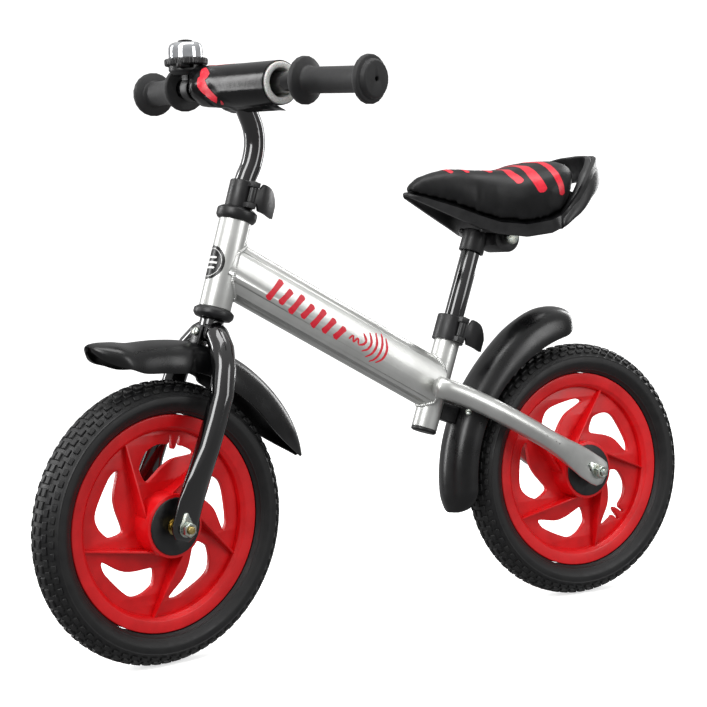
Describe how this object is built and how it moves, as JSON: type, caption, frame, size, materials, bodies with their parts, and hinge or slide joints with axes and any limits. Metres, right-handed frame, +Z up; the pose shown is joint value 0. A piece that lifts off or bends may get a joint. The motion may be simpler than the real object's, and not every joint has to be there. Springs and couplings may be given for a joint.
{
  "type": "child's balance bike",
  "caption": "Child's pedal-less balance bike with steel frame, turning fork and padded bar, foam-tyred moulded wheels, fenders, bell and height-adjustable saddle with carrying loop.",
  "frame": {"origin": "on the ground, midway between the two wheel axles", "axes": "+X forward, +Y to the rider's left, +Z up; the bar and front wheel stand turned 9.8 degrees to the left"},
  "size_m": [0.8282, 0.3947, 0.6515],
  "materials": {
    "silver_paint": "satin metallic",
    "satin_black_plastic": "satin",
    "zinc_plated_steel": "satin",
    "black_tyre": "matte",
    "red_plastic": "satin",
    "gloss_black_steel": "gloss",
    "black_rubber": "matte",
    "grey_foam": "matte",
    "black_vinyl": "satin",
    "chrome": "mirror polish"
  },
  "bodies": {
    "frame": {"head_tube": "silver_paint", "down_tube": "silver_paint", "seat_tube": "silver_paint", "left_stay": "silver_paint", "right_stay": "silver_paint", "upper_headset_cup": "satin_black_plastic", "lower_headset_cup": "satin_black_plastic", "seat_tube_plug": "satin_black_plastic", "seat_clamp": "satin_black_plastic", "seat_clamp_pin": "zinc_plated_steel", "rear_fender": "satin_black_plastic", "rear_fender_bracket": "satin_black_plastic", "rear_fender_screw": "zinc_plated_steel", "rear_axle": "zinc_plated_steel", "rear_axle_nut_left": "zinc_plated_steel", "rear_axle_nut_right": "zinc_plated_steel", "rear_washer_left": "zinc_plated_steel", "rear_washer_right": "zinc_plated_steel"},
    "rear_wheel": {"rear_tyre": "black_tyre", "rear_rim": "red_plastic", "rear_hub_cap_left": "satin_black_plastic", "rear_hub_cap_right": "satin_black_plastic", "rear_bearing_left": "zinc_plated_steel", "rear_bearing_right": "zinc_plated_steel"},
    "steering": {"fork_crown": "gloss_black_steel", "fork_leg_left": "gloss_black_steel", "fork_leg_right": "gloss_black_steel", "front_axle": "zinc_plated_steel", "front_axle_nut_left": "zinc_plated_steel", "front_axle_nut_right": "zinc_plated_steel", "front_washer_left": "zinc_plated_steel", "front_washer_right": "zinc_plated_steel", "front_fender": "satin_black_plastic", "front_fender_bolt": "zinc_plated_steel", "stem_clamp": "satin_black_plastic", "stem_clamp_pin": "zinc_plated_steel"},
    "front_wheel": {"front_tyre": "black_tyre", "front_rim": "red_plastic", "front_hub_cap_left": "satin_black_plastic", "front_hub_cap_right": "satin_black_plastic", "front_bearing_left": "zinc_plated_steel", "front_bearing_right": "zinc_plated_steel"},
    "handlebar": {"handlebar_stem": "gloss_black_steel", "handlebar_bar": "gloss_black_steel", "left_grip": "black_rubber", "right_grip": "black_rubber", "pad_foam": "grey_foam", "pad_cover": "black_vinyl", "bell_base": "satin_black_plastic", "bell_gong": "chrome", "bell_cap": "satin_black_plastic"},
    "stem_lever": {"stem_clamp_lever": "satin_black_plastic"},
    "seat_lever": {"seat_clamp_lever": "satin_black_plastic"},
    "bell_thumb_lever": {"bell_lever": "satin_black_plastic"},
    "seat_pillar": {"seat_post": "gloss_black_steel", "saddle_clamp": "gloss_black_steel", "saddle_clamp_bolt": "zinc_plated_steel"},
    "saddle": {"saddle_base": "satin_black_plastic", "saddle_cushion": "black_vinyl", "saddle_rail": "zinc_plated_steel"}
  },
  "joints": [
    {"name": "steering", "type": "hinge", "parent": "frame", "child": "steering", "pos_m": [0.19275, 0, 0.36363], "axis": [-0.3057, 0, 0.9521], "range_deg": [-70, 50]},
    {"name": "front_wheel_spin", "type": "hinge", "parent": "steering", "child": "front_wheel", "pos_m": [0.26743, 0.00087, 0.14748], "axis": [-0.1621, 0.9854, -0.052], "continuous": true},
    {"name": "rear_wheel_spin", "type": "hinge", "parent": "frame", "child": "rear_wheel", "pos_m": [-0.2675, 0, 0.1475], "axis": [0, 1, 0], "continuous": true},
    {"name": "handlebar_height", "type": "slide", "parent": "steering", "child": "handlebar", "axis": [-0.3057, 0, 0.9521], "range_m": [0, 0.05]},
    {"name": "stem_lever_open", "type": "hinge", "parent": "steering", "child": "stem_lever", "pos_m": [0.1521, 0.01902, 0.4795], "axis": [0.3057, 0, -0.9521], "range_deg": [0, 120]},
    {"name": "seat_lever_open", "type": "hinge", "parent": "frame", "child": "seat_lever", "pos_m": [-0.10051, 0.0225, 0.32268], "axis": [0.3535, 0, -0.9354], "range_deg": [0, 120]},
    {"name": "seat_height", "type": "slide", "parent": "frame", "child": "seat_pillar", "axis": [-0.3535, 0, 0.9354], "range_m": [-0.04, 0.03]},
    {"name": "saddle_tilt", "type": "hinge", "parent": "seat_pillar", "child": "saddle", "pos_m": [-0.17219, 0, 0.42308], "axis": [0, 1, 0], "range_deg": [-10, 10]},
    {"name": "bell_thumb", "type": "hinge", "parent": "handlebar", "child": "bell_thumb_lever", "pos_m": [0.18303, -0.0595, 0.62192], "axis": [0.0042, -0.052, -0.9986], "range_deg": [0, 12], "stiffness_Nm_per_rad": 0.08, "springref_deg": -5.73}
  ]
}
